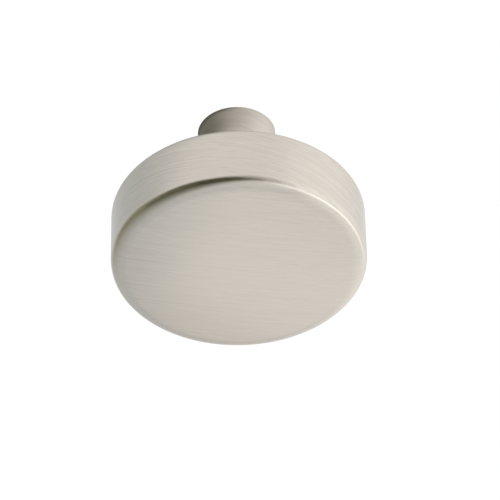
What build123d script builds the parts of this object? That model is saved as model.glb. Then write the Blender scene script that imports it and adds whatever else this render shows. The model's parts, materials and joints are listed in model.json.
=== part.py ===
from build123d import *
import os
from math import asin, cos, degrees, radians, sin, tan

# A round cabinet knob, cast in one piece: a thick disc with a slightly domed face, on a short stem.
# The frame is the knob on a door: the origin is the middle of the stem's end, where it meets
# the door, Y is the knob's axis with the face towards -Y, and Z is up. Lengths are millimetres.

# Head
head_diameter = 32.0
head_thickness = 9.55      # at the middle of the face
crown_radius = 200.0       # the face's slight dome
front_edge_radius = 1.2    # round edge where the side turns over
face_runout_radius = 2.6   # wider round by which the edge runs out into the face
face_runout_angle = 40.0   # slope at which the edge passes into its run-out
back_edge_radius = 0.8

# Stem
stem_diameter = 10.0
stem_length = 14.3
neck_radius = 1.0          # hollow corner between stem and head
stem_end_break = 0.25      # edge broken where the stem meets the door

# Blind hole tapped for the fixing screw, at its tap drill's size
thread_diameter = 4.0
thread_pitch = 0.7
drilled_depth = 12.4
drill_point_angle = 118.0
mouth_clearance = 0.2      # how far the countersunk mouth stands outside the thread

head_radius = head_diameter / 2
stem_radius = stem_diameter / 2
back_y = -stem_length
face_y = -(stem_length + head_thickness)
tap_drill_radius = (thread_diameter - thread_pitch) / 2


def crown_slope():
    """The slope, in radians, at which the domed face meets the front edge's run-out."""
    turn = radians(face_runout_angle)
    runout_center = head_radius - front_edge_radius + (front_edge_radius - face_runout_radius) * sin(turn)
    return asin(runout_center / (crown_radius - face_runout_radius))


def front_edge_depth():
    """How far back from the middle of the face the front edge begins on the side."""
    turn = radians(face_runout_angle)
    slope = crown_slope()
    edge_rise = front_edge_radius * cos(turn)
    runout_rise = face_runout_radius * (cos(slope) - cos(turn))
    crown_rise = crown_radius * (1 - cos(slope))
    return edge_rise + runout_rise + crown_rise


def turned_body():
    """Head and stem in one, turned from half their outline: x is the radius, y the axis."""
    stem_end = Line((0, 0), (stem_radius - stem_end_break, 0))
    end_break = Line(stem_end @ 1, (stem_radius, -stem_end_break))
    stem_side = Line(end_break @ 1, (stem_radius, back_y + neck_radius))
    neck = JernArc(stem_side @ 1, stem_side % 1, neck_radius, 90)
    back = Line(neck @ 1, (head_radius - back_edge_radius, back_y))
    back_edge = JernArc(back @ 1, back % 1, back_edge_radius, -90)
    side = Line(back_edge @ 1, (head_radius, face_y + front_edge_depth()))

    # Three arcs, each tangent to what comes before, turn the side into the face and cross it
    slope = degrees(crown_slope())
    front_edge = JernArc(side @ 1, side % 1, front_edge_radius, face_runout_angle - 90)
    face_runout = JernArc(front_edge @ 1, front_edge % 1, face_runout_radius, slope - face_runout_angle)
    face = JernArc(face_runout @ 1, face_runout % 1, crown_radius, -slope)

    axis = Line(face @ 1, stem_end @ 0)
    stem_lines = [stem_end, end_break, stem_side, neck]
    head_lines = [back, back_edge, side, front_edge, face_runout, face, axis]
    return revolve(make_face(stem_lines + head_lines), axis=Axis.Y)


def screw_hole():
    """What the tap drill and the countersink take away: blind, with a conical bottom."""
    mouth_radius = thread_diameter / 2 + mouth_clearance
    mouth_depth = mouth_radius - tap_drill_radius
    point_depth = tap_drill_radius / tan(radians(drill_point_angle / 2))
    outline = Polyline(
        (0, 0),
        (mouth_radius, 0),
        (tap_drill_radius, -mouth_depth),
        (tap_drill_radius, -drilled_depth),
        (0, -drilled_depth - point_depth),
        close=True,
    )
    return revolve(make_face(outline), axis=Axis.Y)


def knob():
    """The finished knob."""
    return turned_body() - screw_hole()


os.makedirs("parts", exist_ok=True)
export_step(knob(), "parts/knob.step")
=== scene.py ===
import json
from collections import namedtuple
from math import asin, cos, radians, sin, tan, tau

import bpy
from bpy.props import FloatProperty, FloatVectorProperty, IntProperty, PointerProperty
from mathutils import Matrix, Vector


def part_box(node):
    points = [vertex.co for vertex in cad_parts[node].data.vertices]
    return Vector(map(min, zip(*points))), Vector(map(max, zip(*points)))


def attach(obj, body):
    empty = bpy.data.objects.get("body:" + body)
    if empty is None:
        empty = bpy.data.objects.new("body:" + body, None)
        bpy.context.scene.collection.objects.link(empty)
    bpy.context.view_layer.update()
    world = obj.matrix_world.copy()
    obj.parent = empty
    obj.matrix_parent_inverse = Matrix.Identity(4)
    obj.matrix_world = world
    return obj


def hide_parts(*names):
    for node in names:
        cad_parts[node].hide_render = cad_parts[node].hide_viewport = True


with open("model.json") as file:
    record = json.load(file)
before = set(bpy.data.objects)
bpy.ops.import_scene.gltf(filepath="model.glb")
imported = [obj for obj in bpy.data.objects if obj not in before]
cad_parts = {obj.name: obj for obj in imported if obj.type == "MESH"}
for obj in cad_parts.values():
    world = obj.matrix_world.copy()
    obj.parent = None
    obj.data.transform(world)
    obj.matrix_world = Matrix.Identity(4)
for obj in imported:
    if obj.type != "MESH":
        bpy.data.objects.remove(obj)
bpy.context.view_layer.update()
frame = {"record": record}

bl_info = {
    "name": "Satin nickel cabinet knob",
    "version": (1, 0, 0),
    "blender": (4, 5, 0),
    "location": "3D View > Sidebar > Knob",
    "description": "Turns a disc-shaped cabinet knob, brushes it and sets it in a plain studio",
    "category": "Add Mesh",
}

NODE = "knob"
MILLIMETRE = 0.001
QUARTER_TURN = tau / 4

# Steps along each round stretch and straight stretch of the outline
EDGE_STEPS = 14
SMALL_ROUND_STEPS = 8
SIDE_STEPS = 8
STEM_STEPS = 10
HOLE_STEPS = 4

# Points nearer than this are one point
MERGE_DISTANCE = 0.001 * MILLIMETRE
SMOOTH_ANGLE = radians(30)

# A metric thread's form, as shares of its pitch, and how far the tap starts inside the hole's wall
THREAD_ROOT_HALF = 7 / 16
THREAD_CREST_HALF = 1 / 16
TAP_OVERLAP = 0.1
THREAD_STEPS = 64

# The grain's noise comes to this height on average, and a quarter turn spreads the satin across the grain
MEAN_HEIGHT = 0.5
ACROSS_GRAIN = 0.25

SENSOR_WIDTH = 36.0
NEAR_CLIP = 0.01
FLOOR_WIDTH = 20.0
TENT_SEGMENTS = 64
TENT_RINGS = 32

knob_low, knob_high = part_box(NODE)
head_width = (knob_high[0] - knob_low[0]) / MILLIMETRE
projection = -knob_low[1] / MILLIMETRE
screw_hole = next(m for m in frame["record"]["mounts"] if m["name"] == "screw_hole")


def length(name, description, default):
    """A length property, in metres, with its default given in millimetres."""
    return FloatProperty(
        name=name,
        description=description,
        default=default * MILLIMETRE,
        min=0.0,
        precision=5,
        unit="LENGTH",
    )


def angle(name, description, default):
    """An angle property with its default given in degrees."""
    return FloatProperty(name=name, description=description, default=radians(default), unit="ROTATION")


def share(name, description, default, top=1.0):
    """A plain number from 0 to top."""
    return FloatProperty(name=name, description=description, default=default, min=0.0, max=top)


def tint(name, description, default):
    """A colour property."""
    return FloatVectorProperty(
        name=name, description=description, default=default, size=3, min=0.0, max=1.0, subtype="COLOR"
    )


class KnobSizes(bpy.types.PropertyGroup):
    """The knob's own measures."""

    head_radius: length("Head radius", "Half the head's width", head_width / 2)
    face_rise: length("Face rise", "How far the middle of the face stands from the stem's end", projection)
    crown_radius: length("Crown radius", "Radius of the face's slight dome", 200.0)
    front_edge_radius: length("Front edge radius", "Round edge where the side turns over", 1.2)
    face_runout_radius: length("Run-out radius", "Wider round that runs out into the face", 2.6)
    face_runout_angle: angle("Run-out angle", "Slope at which the edge passes into its run-out", 40.0)
    back_edge_radius: length("Back edge radius", "Round edge at the back of the head", 0.8)
    stem_length: length("Stem length", "From the door to the back of the head", 14.3)
    stem_radius: length("Stem radius", "Half the stem's width", 5.0)
    neck_radius: length("Neck radius", "Hollow corner between stem and head", 1.0)
    stem_end_break: length("Stem end break", "Edge broken where the stem meets the door", 0.25)
    hole_radius: length("Tap drill radius", "Wall of the screw hole", screw_hole["dims"]["r_mm"])
    thread_radius: length("Thread radius", "Outer radius of the screw thread", 2.0)
    thread_pitch: length("Thread pitch", "Advance of the thread in one turn", 0.7)
    mouth_clearance: length("Mouth clearance", "How far the mouth stands outside the thread", 0.2)
    drilled_depth: length("Drilled depth", "Full width of the screw hole, from the stem's end", 12.4)
    tapped_depth: length("Tapped depth", "How deep the thread is cut", 10.5)
    drill_point: angle("Drill point", "Angle of the hole's conical bottom", 118.0)
    segments: IntProperty(name="Segments", description="Steps round the knob", default=192, min=32)


class NickelFinish(bpy.types.PropertyGroup):
    """The brushed plating."""

    nickel: tint("Nickel", "Colour of the plating", (0.611, 0.567, 0.505))
    roughness: share("Roughness", "Satin of the brushed surface", 0.226)
    anisotropy: share("Anisotropy", "How much more the brushing spreads light across the grain", 0.43)
    face_grain_depth: length("Face grain depth", "Where the straight grain ends", 1.35)
    face_grain_fade: length("Face grain fade", "Over what depth the straight grain gives way", 0.3)
    grain_angle: angle("Face grain", "Fall of the straight grain towards +X on the face", 10.0)
    lead_angle: angle("Side grain", "Lead of the grain that runs round the side and stem", 11.0)
    waver: length("Waver", "How far the side's grain wanders from its line", 0.3)
    wander_length: length("Wander length", "Over what length the grain wanders", 8.0)
    face_waver: share("Face waver", "Share of that wander on the face", 0.1)
    face_fineness: share("Face fineness", "How much finer the grain is on the face", 1.35, 5.0)
    low_height: share("Low height", "Height of the grain at which the satin is finest", 0.3)
    high_height: share("High height", "Height of the grain at which the satin is roughest", 0.7)
    roughness_swing: share("Roughness swing", "How far the grain changes the satin either way", 0.04)
    bump_strength: share("Bump strength", "How strongly the grain's relief turns the light", 0.25)
    bump_depth: length("Bump depth", "Depth of the grain's relief", 0.01)
    face_contrast: share("Face contrast", "How much the grain shows on the face", 0.38)
    side_contrast: share("Side contrast", "How much the grain shows on the side and stem", 0.54)


class StudioSetup(bpy.types.PropertyGroup):
    """Camera, light and floor."""

    elevation: angle("Camera elevation", "How far the camera looks down", 48.77)
    roll: angle("Camera roll", "Turn of the picture", 1.256)
    aim_rise: length("Aim rise", "From the stem's end to the place the camera is set by", 22.9)
    aim_right: length("Aim right", "How far right of that place the picture's middle lies", 1.355)
    aim_up: length("Aim up", "How far above that place the picture's middle lies", 2.043)
    distance: length("Camera distance", "From the camera to that place", 432.5)
    focal_length: FloatProperty(name="Lens", description="Focal length in millimetres", default=249.86)
    floor_drop: length("Floor drop", "From the knob's axis down to the floor", 320.0)
    pale: tint("Floor", "Colour of the pale floor", (0.95, 0.95, 0.95))
    ambient: share("Ambient", "Brightness of the white room", 1.08, 10.0)
    tent_radius: length("Tent radius", "Radius of the tent of soft light round the knob", 260.0)
    tent_middle: length("Tent middle", "From the stem's end to the tent's middle", 18.0)
    card_gap: length("Card gap", "From the stem's end to the dark card behind it", 0.6)
    card_reach: length("Card reach", "Where the dark card has faded out all round", 14.0)
    card_core: length("Card core", "How far from its middle the dark card is even", 9.0)
    card_clear: length("Card clear", "Where the dark card has faded out towards +X", 11.0)
    card_dark: length("Card dark", "Where the dark card is full towards -X", 13.0)
    shade_reach: length("Shade reach", "Where the darker shade round the stem's end has faded out", 7.0)
    shade_core: length("Shade core", "How far from its middle that shade is even", 6.0)
    shade_clear: length("Shade clear", "Where that shade has faded out towards +X", 4.0)
    shade_dark: length("Shade dark", "Where that shade is full towards -X", 3.0)
    card_light: share("Card light", "Brightness of the dark card", 0.14)
    card_tint: tint("Card", "Colour of the dark card", (1.0, 0.96, 0.7))
    tent_white: share("Tent white", "Brightness of the tent's plain cloth", 1.0, 10.0)


class Outline:
    """Half an outline, drawn as a pen moves: across is the radius, along is the knob's axis."""

    def __init__(self, across, along, heading):
        self.points = [(across, along)]
        self.heading = heading

    def line(self, run, steps=1):
        """A straight stretch of a given length."""
        across, along = self.points[-1]
        for step in range(1, steps + 1):
            part = run * step / steps
            self.points.append((across + part * cos(self.heading), along + part * sin(self.heading)))

    def arc(self, radius, turn, steps):
        """A round stretch, tangent to what comes before; a positive turn goes towards the door."""
        side = radius if turn > 0 else -radius
        across, along = self.points[-1]
        middle_across = across - side * sin(self.heading)
        middle_along = along + side * cos(self.heading)
        start = self.heading
        for step in range(1, steps + 1):
            self.heading = start + turn * step / steps
            self.points.append(
                (middle_across + side * sin(self.heading), middle_along - side * cos(self.heading))
            )

    def line_to(self, across=None, along=None, steps=1):
        """A straight stretch up to a radius or a place along the axis."""
        here = self.points[-1]
        if along is None:
            run = (across - here[0]) / cos(self.heading)
        else:
            run = (along - here[1]) / sin(self.heading)
        self.line(run, steps)


def crown_slope(size):
    """The angle at which the domed face meets the front edge's run-out."""
    edge, runout = size.front_edge_radius, size.face_runout_radius
    runout_center = size.head_radius - edge + (edge - runout) * sin(size.face_runout_angle)
    return asin(runout_center / (size.crown_radius - runout))


def knob_outline(size):
    """From the middle of the face, round the head, up the stem and down the screw hole."""
    slope = crown_slope(size)
    pen = Outline(0.0, -size.face_rise, 0.0)
    pen.arc(size.crown_radius, slope, EDGE_STEPS)
    pen.arc(size.face_runout_radius, size.face_runout_angle - slope, EDGE_STEPS)
    pen.arc(size.front_edge_radius, QUARTER_TURN - size.face_runout_angle, EDGE_STEPS)
    pen.line_to(along=-size.stem_length - size.back_edge_radius, steps=SIDE_STEPS)
    pen.arc(size.back_edge_radius, QUARTER_TURN, SMALL_ROUND_STEPS)
    pen.line_to(across=size.stem_radius + size.neck_radius, steps=SIDE_STEPS)
    pen.arc(size.neck_radius, -QUARTER_TURN, SMALL_ROUND_STEPS)
    pen.line_to(along=-size.stem_end_break, steps=STEM_STEPS)
    pen.heading = 1.5 * QUARTER_TURN
    pen.line_to(along=0.0)
    pen.heading = 2 * QUARTER_TURN
    mouth_radius = size.thread_radius + size.mouth_clearance
    pen.line_to(across=mouth_radius, steps=HOLE_STEPS)
    pen.heading = 2.5 * QUARTER_TURN
    pen.line_to(across=size.hole_radius)
    pen.heading = 3 * QUARTER_TURN
    pen.line_to(along=-size.drilled_depth, steps=HOLE_STEPS)
    pen.heading = 3 * QUARTER_TURN - size.drill_point / 2
    pen.line_to(across=0.0)
    return pen.points


def add_mesh(name, place):
    """A new object with a single vertex at a place, left in edit mode with that vertex selected."""
    bpy.ops.object.select_all(action="DESELECT")
    bpy.ops.mesh.primitive_plane_add(enter_editmode=True)
    bpy.ops.mesh.merge(type="CENTER")
    bpy.ops.transform.translate(value=place)
    piece = bpy.context.object
    piece.name = name
    piece.data.name = name
    return piece


def draw_on(points):
    """Extrudes the selected vertex from point to point; each point is a radius and a place on the axis."""
    for before, after in zip(points, points[1:]):
        step = (after[0] - before[0], after[1] - before[1], 0.0)
        bpy.ops.mesh.extrude_vertices_move(TRANSFORM_OT_translate={"value": step})


def turn_blank(size):
    """Spins the knob's outline round its axis into a closed body."""
    points = knob_outline(size)
    body = add_mesh("knob_body", (points[0][0], points[0][1], 0.0))
    draw_on(points)
    bpy.ops.mesh.select_all(action="SELECT")
    bpy.ops.mesh.spin(steps=size.segments, angle=tau, center=(0, 0, 0), axis=(0, 1, 0))
    bpy.ops.mesh.select_all(action="SELECT")
    bpy.ops.mesh.remove_doubles(threshold=MERGE_DISTANCE)
    bpy.ops.mesh.normals_make_consistent(inside=False)
    bpy.ops.object.mode_set(mode="OBJECT")
    return body


def make_tap(size):
    """The cutting ridge of a tap: one thread groove's section, wound down the hole."""
    root_half = THREAD_ROOT_HALF * size.thread_pitch
    crest_half = THREAD_CREST_HALF * size.thread_pitch
    inside = size.hole_radius - TAP_OVERLAP * size.thread_pitch
    start = size.thread_pitch
    section = [
        (inside, start - root_half),
        (size.thread_radius, start - crest_half),
        (size.thread_radius, start + crest_half),
        (inside, start + root_half),
    ]
    tap = add_mesh("tap", (section[0][0], section[0][1], 0.0))
    draw_on(section)
    bpy.ops.mesh.select_all(action="SELECT")
    bpy.ops.mesh.edge_face_add()
    bpy.ops.mesh.delete(type="ONLY_FACE")
    bpy.ops.object.mode_set(mode="OBJECT")
    winding = tap.modifiers.new("winding", "SCREW")
    winding.axis = "Y"
    winding.angle = tau
    winding.screw_offset = -size.thread_pitch
    winding.iterations = round((size.tapped_depth + start) / size.thread_pitch)
    winding.steps = THREAD_STEPS
    winding.render_steps = THREAD_STEPS
    bpy.ops.object.modifier_apply(modifier="winding")
    bpy.ops.object.mode_set(mode="EDIT")
    bpy.ops.mesh.select_all(action="SELECT")
    bpy.ops.mesh.fill_holes(sides=0)
    bpy.ops.mesh.select_all(action="SELECT")
    bpy.ops.mesh.normals_make_consistent(inside=False)
    bpy.ops.object.mode_set(mode="OBJECT")
    return tap


def cut(body, tool):
    """Takes a tool's shape out of a body and throws the tool away."""
    bpy.ops.object.select_all(action="DESELECT")
    body.select_set(True)
    bpy.context.view_layer.objects.active = body
    cutting = body.modifiers.new("cutting", "BOOLEAN")
    cutting.operation = "DIFFERENCE"
    cutting.solver = "EXACT"
    cutting.object = tool
    bpy.ops.object.modifier_apply(modifier="cutting")
    bpy.data.objects.remove(tool)


class NodeBench:
    """Adds nodes to one material's tree."""

    def __init__(self, material):
        self.tree = material.node_tree

    def add(self, kind, settings=(), **inputs):
        """A node of a kind, with its settings, and its inputs set or linked by name or number."""
        node = self.tree.nodes.new(kind)
        for key, value in dict(settings).items():
            setattr(node, key, value)
        for key, value in inputs.items():
            socket = node.inputs[int(key[1:])] if key[0] == "_" else node.inputs[key.replace("_", " ")]
            if isinstance(value, bpy.types.NodeSocket):
                self.tree.links.new(value, socket)
            else:
                socket.default_value = value
        return node

    def math(self, operation, first, second=0.0):
        """One arithmetic step on two numbers."""
        return self.add("ShaderNodeMath", {"operation": operation}, _0=first, _1=second).outputs[0]

    def soften(self, value, clear, full):
        """A soft passage from 0, where a value is clear, to 1, where it is full."""
        passage = self.add(
            "ShaderNodeMapRange",
            {"interpolation_type": "SMOOTHSTEP"},
            Value=value,
            From_Min=clear,
            From_Max=full,
        )
        return passage.outputs[0]

    def streaks(self, place, across, along_scale, across_scale):
        """Noise drawn out along the grain: place is where a point lies, across its place over the grain."""
        ridges = self.math("MULTIPLY", across, across_scale / along_scale)
        noise = self.add(
            "ShaderNodeTexNoise",
            {"noise_dimensions": "4D"},
            Vector=place,
            W=ridges,
            Scale=along_scale,
            Detail=1.0,
        )
        return noise.outputs[0]


Stroke = namedtuple("Stroke", "along across share")

# Fine, middling and coarse brush strokes: repeats a metre along and across the grain, and their share
STROKES = (
    Stroke(600.0, 9000.0, 0.4),
    Stroke(240.0, 6000.0, 0.3),
    Stroke(70.0, 5000.0, 0.3),
)


def satin_nickel(size, finish):
    """Brushed plating: straight grain over the face, grain round the side, back and stem."""
    material = bpy.data.materials.new("satin_nickel")
    material.use_nodes = True
    material.node_tree.nodes.clear()
    bench = NodeBench(material)

    place = bench.add("ShaderNodeTexCoord").outputs["Object"]
    axes = bench.add("ShaderNodeSeparateXYZ", Vector=place)
    x, y, z = axes.outputs

    # How much of the straight face grain shows: all on the face, none once the edge has turned
    rim_depth = bench.math("ADD", y, size.face_rise)
    grain_end = finish.face_grain_depth
    face_share = bench.soften(rim_depth, grain_end, grain_end - finish.face_grain_fade)

    # Places across the grain, which wanders a little
    wander = bench.add(
        "ShaderNodeTexNoise", Vector=place, Scale=1 / finish.wander_length, Detail=0.0
    ).outputs[0]
    waver = bench.math("MULTIPLY", wander, finish.waver)
    straight = bench.math("ADD", z, bench.math("MULTIPLY", x, tan(finish.grain_angle)))
    face_across = bench.math("ADD", straight, bench.math("MULTIPLY", waver, finish.face_waver))
    flat = bench.add("ShaderNodeCombineXYZ", X=x, Y=0.0, Z=z).outputs[0]
    radius = bench.add("ShaderNodeVectorMath", {"operation": "LENGTH"}, _0=flat).outputs["Value"]
    lead = bench.math("MULTIPLY", x, tan(finish.lead_angle))
    level = bench.math("SUBTRACT", bench.math("SUBTRACT", radius, y), lead)
    turned_across = bench.math("ADD", level, waver)

    def grain(stroke):
        face = bench.streaks(place, face_across, stroke.along, finish.face_fineness * stroke.across)
        turned = bench.streaks(place, turned_across, stroke.along, stroke.across)
        return bench.add(
            "ShaderNodeMix", {"data_type": "FLOAT"}, Factor=face_share, _2=turned, _3=face
        ).outputs[0]

    height = 0.0
    for stroke in STROKES:
        height = bench.math("ADD", bench.math("MULTIPLY", grain(stroke), stroke.share), height)
    contrast = bench.add(
        "ShaderNodeMapRange", Value=face_share, To_Min=finish.side_contrast, To_Max=finish.face_contrast
    ).outputs[0]
    swing = bench.math("SUBTRACT", height, MEAN_HEIGHT)
    tone = bench.math("ADD", bench.math("MULTIPLY", swing, contrast), 1.0)
    colour = bench.add(
        "ShaderNodeVectorMath", {"operation": "SCALE"}, _0=tuple(finish.nickel), Scale=tone
    ).outputs[0]
    roughness = bench.add(
        "ShaderNodeMapRange",
        Value=height,
        From_Min=finish.low_height,
        From_Max=finish.high_height,
        To_Min=finish.roughness - finish.roughness_swing,
        To_Max=finish.roughness + finish.roughness_swing,
    ).outputs[0]
    bump = bench.add(
        "ShaderNodeBump", Strength=finish.bump_strength, Distance=finish.bump_depth, Height=height
    ).outputs[0]

    # The way the grain runs, which the light spreads across
    round_way = bench.add("ShaderNodeTangent", {"direction_type": "RADIAL", "axis": "Y"}).outputs[0]
    straight_way = (cos(finish.grain_angle), 0.0, -sin(finish.grain_angle))
    grain_way = bench.add(
        "ShaderNodeMix", {"data_type": "VECTOR"}, Factor=face_share, _4=round_way, _5=straight_way
    ).outputs[1]

    metal = bench.add(
        "ShaderNodeBsdfPrincipled",
        Base_Color=colour,
        Metallic=1.0,
        Roughness=roughness,
        Anisotropic=finish.anisotropy,
        Anisotropic_Rotation=ACROSS_GRAIN,
        Tangent=grain_way,
        Normal=bump,
    )
    bench.add("ShaderNodeOutputMaterial", Surface=metal.outputs[0])
    return material


class KNOB_OT_turn_knob(bpy.types.Operator):
    """Turn the knob's body, tap its screw hole and give it the brushed finish"""

    bl_idname = "knob.turn_knob"
    bl_label = "Turn knob"

    def execute(self, context):
        size = context.scene.knob_sizes
        finish = context.scene.knob_finish
        body = turn_blank(size)
        cut(body, make_tap(size))
        bpy.ops.object.shade_smooth_by_angle(angle=SMOOTH_ANGLE)
        body.data.materials.append(satin_nickel(size, finish))
        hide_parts(NODE)
        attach(body, "root")
        return {"FINISHED"}


def add_camera(setup):
    """The camera at the photograph's angle, with the picture's small roll."""
    tilt, roll = setup.elevation, setup.roll
    forward = Vector((0.0, cos(tilt), -sin(tilt)))
    level_up = Vector((0.0, sin(tilt), cos(tilt)))
    level_right = Vector((1.0, 0.0, 0.0))
    right = level_right * cos(roll) - level_up * sin(roll)
    up = level_up * cos(roll) + level_right * sin(roll)
    aim = Vector((0.0, -setup.aim_rise, 0.0)) + right * setup.aim_right + up * setup.aim_up
    eye = aim - forward * setup.distance
    bpy.ops.object.camera_add()
    camera = bpy.context.object
    camera.name = "camera"
    turn = Matrix((right, up, -forward)).transposed().to_4x4()
    camera.matrix_world = Matrix.Translation(eye) @ turn
    camera.data.lens = setup.focal_length
    camera.data.sensor_width = SENSOR_WIDTH
    camera.data.clip_start = NEAR_CLIP
    bpy.context.scene.camera = camera


def floor_material(colour):
    """The floor's matt pale paint."""
    material = bpy.data.materials.new("pale_floor")
    material.use_nodes = True
    material.node_tree.nodes.clear()
    bench = NodeBench(material)
    paint = bench.add("ShaderNodeBsdfDiffuse", Color=(*colour, 1.0))
    bench.add("ShaderNodeOutputMaterial", Surface=paint.outputs[0])
    return material


def direction(azimuth, elevation):
    """Unit vector: azimuth 0 is towards the viewer, 90 to the right, elevation is up, in degrees."""
    a, e = radians(azimuth), radians(elevation)
    return Vector((sin(a) * cos(e), -cos(a) * cos(e), sin(e)))


SoftCircle = namedtuple("SoftCircle", "azimuth elevation reach core")
TentLight = namedtuple("TentLight", "name brightness tint circles")

NEUTRAL = (1.0, 1.0, 1.0)
COOL = (0.96, 1.01, 1.03)
WARM = (1.07, 1.07, 0.78)
BROWN = (1.15, 1.15, 0.50)

# What the metal mirrors, in degrees as seen from the knob, each light over those before it. A light lies
# where its circles overlap; each circle is even out to its core and fades out at its reach
TENT_LIGHTS = (
    TentLight("right wall", 1.3, NEUTRAL, (SoftCircle(85, 10, 70, 0),)),
    TentLight("roof", 0.6, NEUTRAL, (SoftCircle(30, 70, 40, 0),)),
    TentLight("right floor", 1.15, NEUTRAL, (SoftCircle(70, -50, 50, 30),)),
    TentLight("back ground", 0.9, NEUTRAL, (SoftCircle(180, -45, 45, 25),)),
    TentLight("left wall", 0.65, COOL, (SoftCircle(-155, -10, 50, 20),)),
    TentLight("left floor", 0.7, NEUTRAL, (SoftCircle(-65, -50, 65, 20),)),
    TentLight("side flag", 0.3, WARM, (SoftCircle(-70, 0, 60, 20),)),
    TentLight("dark flag", 0.15, WARM, (SoftCircle(-50, 40, 45, 25),)),
    TentLight("flag's tail", 0.05, BROWN, (SoftCircle(-20, 60, 35, 0),)),
    TentLight("strip light", 8.0, NEUTRAL, (SoftCircle(-5, -25, 75, 70), SoftCircle(155, 30, 105, 55))),
    TentLight("front ground", 1.1, NEUTRAL, (SoftCircle(20, -20, 45, 35),)),
    TentLight("left ground", 0.7, COOL, (SoftCircle(-100, 40, 120, 115), SoftCircle(10, -45, 90, 0))),
    TentLight("top ground", 0.95, NEUTRAL, (SoftCircle(15, -25, 30, 5),)),
)


def light_cover(bench, way, light):
    """How far a light covers the tent in the direction way."""
    cover = None
    for circle in light.circles:
        towards = direction(circle.azimuth, circle.elevation)
        nearness = bench.add("ShaderNodeVectorMath", {"operation": "DOT_PRODUCT"}, _0=way, _1=towards)
        reach, core = cos(radians(circle.reach)), cos(radians(circle.core))
        inside = bench.soften(nearness.outputs["Value"], reach, core)
        cover = inside if cover is None else bench.math("MULTIPLY", cover, inside)
    return cover


def tent_material(setup):
    """White cloth, lit from outside, with brighter and darker soft lights over it."""
    material = bpy.data.materials.new("tent_cloth")
    material.use_nodes = True
    material.node_tree.nodes.clear()
    material.cycles.emission_sampling = "NONE"
    bench = NodeBench(material)
    place = bench.add("ShaderNodeTexCoord").outputs["Object"]
    way = bench.add("ShaderNodeVectorMath", {"operation": "NORMALIZE"}, _0=place).outputs[0]
    cloth = Vector(NEUTRAL) * setup.tent_white
    for light in TENT_LIGHTS:
        cloth = bench.add(
            "ShaderNodeMix",
            {"data_type": "VECTOR"},
            Factor=light_cover(bench, way, light),
            _4=cloth,
            _5=Vector(light.tint) * light.brightness,
        ).outputs[1]
    glow = bench.add("ShaderNodeEmission", Color=cloth, Strength=1.0)
    bench.add("ShaderNodeOutputMaterial", Surface=glow.outputs[0])
    return material


def show_in_metal_only(panel):
    """Keeps a panel out of the picture and off the floor: only reflections see it."""
    panel.visible_camera = False
    panel.visible_diffuse = False
    panel.visible_transmission = False
    panel.visible_shadow = False


def add_tent(setup):
    """A tent of soft light round the knob."""
    bpy.ops.object.select_all(action="DESELECT")
    bpy.ops.mesh.primitive_uv_sphere_add(
        segments=TENT_SEGMENTS, ring_count=TENT_RINGS, radius=setup.tent_radius
    )
    tent = bpy.context.object
    tent.name = "tent"
    tent.location = (0.0, -setup.tent_middle, 0.0)
    tent.data.materials.append(tent_material(setup))
    show_in_metal_only(tent)


def card_material(setup):
    """Dark card, fading out all round and towards +X, and darkest close round the stem's end."""
    material = bpy.data.materials.new("dark_card")
    material.use_nodes = True
    material.node_tree.nodes.clear()
    material.cycles.emission_sampling = "NONE"
    bench = NodeBench(material)
    place = bench.add("ShaderNodeTexCoord").outputs["Object"]
    out = bench.add("ShaderNodeVectorMath", {"operation": "LENGTH"}, _0=place).outputs["Value"]
    side = bench.add("ShaderNodeSeparateXYZ", Vector=place).outputs[0]
    card = bench.math(
        "MULTIPLY",
        bench.soften(out, setup.card_reach, setup.card_core),
        bench.soften(side, setup.card_clear, -setup.card_dark),
    )
    shade = bench.math(
        "MULTIPLY",
        bench.soften(out, setup.shade_reach, setup.shade_core),
        bench.soften(side, setup.shade_clear, -setup.shade_dark),
    )
    cover = bench.math("MAXIMUM", card, shade)
    clear = bench.add("ShaderNodeBsdfTransparent")
    dark = bench.add("ShaderNodeEmission", Color=(*setup.card_tint, 1.0), Strength=setup.card_light)
    mixed = bench.add("ShaderNodeMixShader", _0=cover, _1=clear.outputs[0], _2=dark.outputs[0])
    bench.add("ShaderNodeOutputMaterial", Surface=mixed.outputs[0])
    return material


def add_stem_card(setup):
    """A soft-edged dark card close behind the stem's end."""
    bpy.ops.object.select_all(action="DESELECT")
    bpy.ops.mesh.primitive_plane_add(
        size=2 * setup.card_reach, location=(0.0, setup.card_gap, 0.0), rotation=(QUARTER_TURN, 0.0, 0.0)
    )
    card = bpy.context.object
    card.name = "stem_card"
    card.data.materials.append(card_material(setup))
    show_in_metal_only(card)


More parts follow.
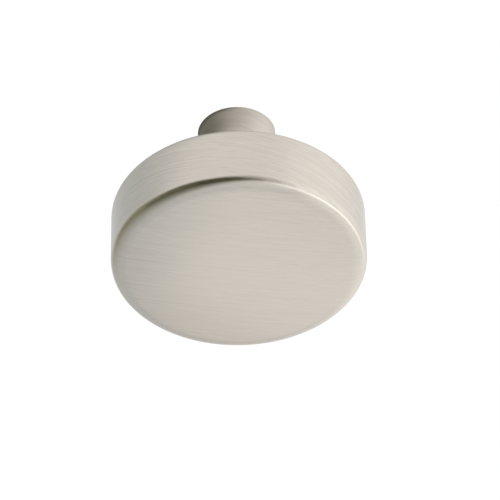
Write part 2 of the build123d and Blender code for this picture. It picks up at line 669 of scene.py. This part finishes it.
class KNOB_OT_set_studio(bpy.types.Operator):
    """Set the floor, the soft light and the camera"""

    bl_idname = "knob.set_studio"
    bl_label = "Set studio"

    def execute(self, context):
        setup = context.scene.knob_studio
        add_camera(setup)

        bpy.ops.object.select_all(action="DESELECT")
        bpy.ops.mesh.primitive_plane_add(size=FLOOR_WIDTH, location=(0, 0, -setup.floor_drop))
        floor = bpy.context.object
        floor.name = "floor"
        floor.data.materials.append(floor_material(tuple(setup.pale)))

        world = bpy.data.worlds.new("white_room")
        world.use_nodes = True
        world.node_tree.nodes["Background"].inputs["Color"].default_value = (1, 1, 1, 1)
        world.node_tree.nodes["Background"].inputs["Strength"].default_value = setup.ambient
        context.scene.world = world

        add_tent(setup)
        add_stem_card(setup)

        context.scene.view_settings.view_transform = "Standard"
        return {"FINISHED"}


class KNOB_PT_bench(bpy.types.Panel):
    """Lists the knob's measures and the steps that make it"""

    bl_idname = "KNOB_PT_bench"
    bl_label = "Cabinet knob"
    bl_space_type = "VIEW_3D"
    bl_region_type = "UI"
    bl_category = "Knob"

    def draw(self, context):
        layout = self.layout
        for group in (context.scene.knob_sizes, context.scene.knob_finish, context.scene.knob_studio):
            column = layout.column(align=True)
            for key in group.__annotations__:
                column.prop(group, key)
        layout.operator(KNOB_OT_turn_knob.bl_idname)
        layout.operator(KNOB_OT_set_studio.bl_idname)


CLASSES = (KnobSizes, NickelFinish, StudioSetup, KNOB_OT_turn_knob, KNOB_OT_set_studio, KNOB_PT_bench)


def register():
    for entry in CLASSES:
        bpy.utils.register_class(entry)
    bpy.types.Scene.knob_sizes = PointerProperty(type=KnobSizes)
    bpy.types.Scene.knob_finish = PointerProperty(type=NickelFinish)
    bpy.types.Scene.knob_studio = PointerProperty(type=StudioSetup)


def unregister():
    del bpy.types.Scene.knob_studio
    del bpy.types.Scene.knob_finish
    del bpy.types.Scene.knob_sizes
    for entry in reversed(CLASSES):
        bpy.utils.unregister_class(entry)


def main():
    register()
    bpy.ops.knob.turn_knob()
    bpy.ops.knob.set_studio()


if __name__ == "__main__":
    main()
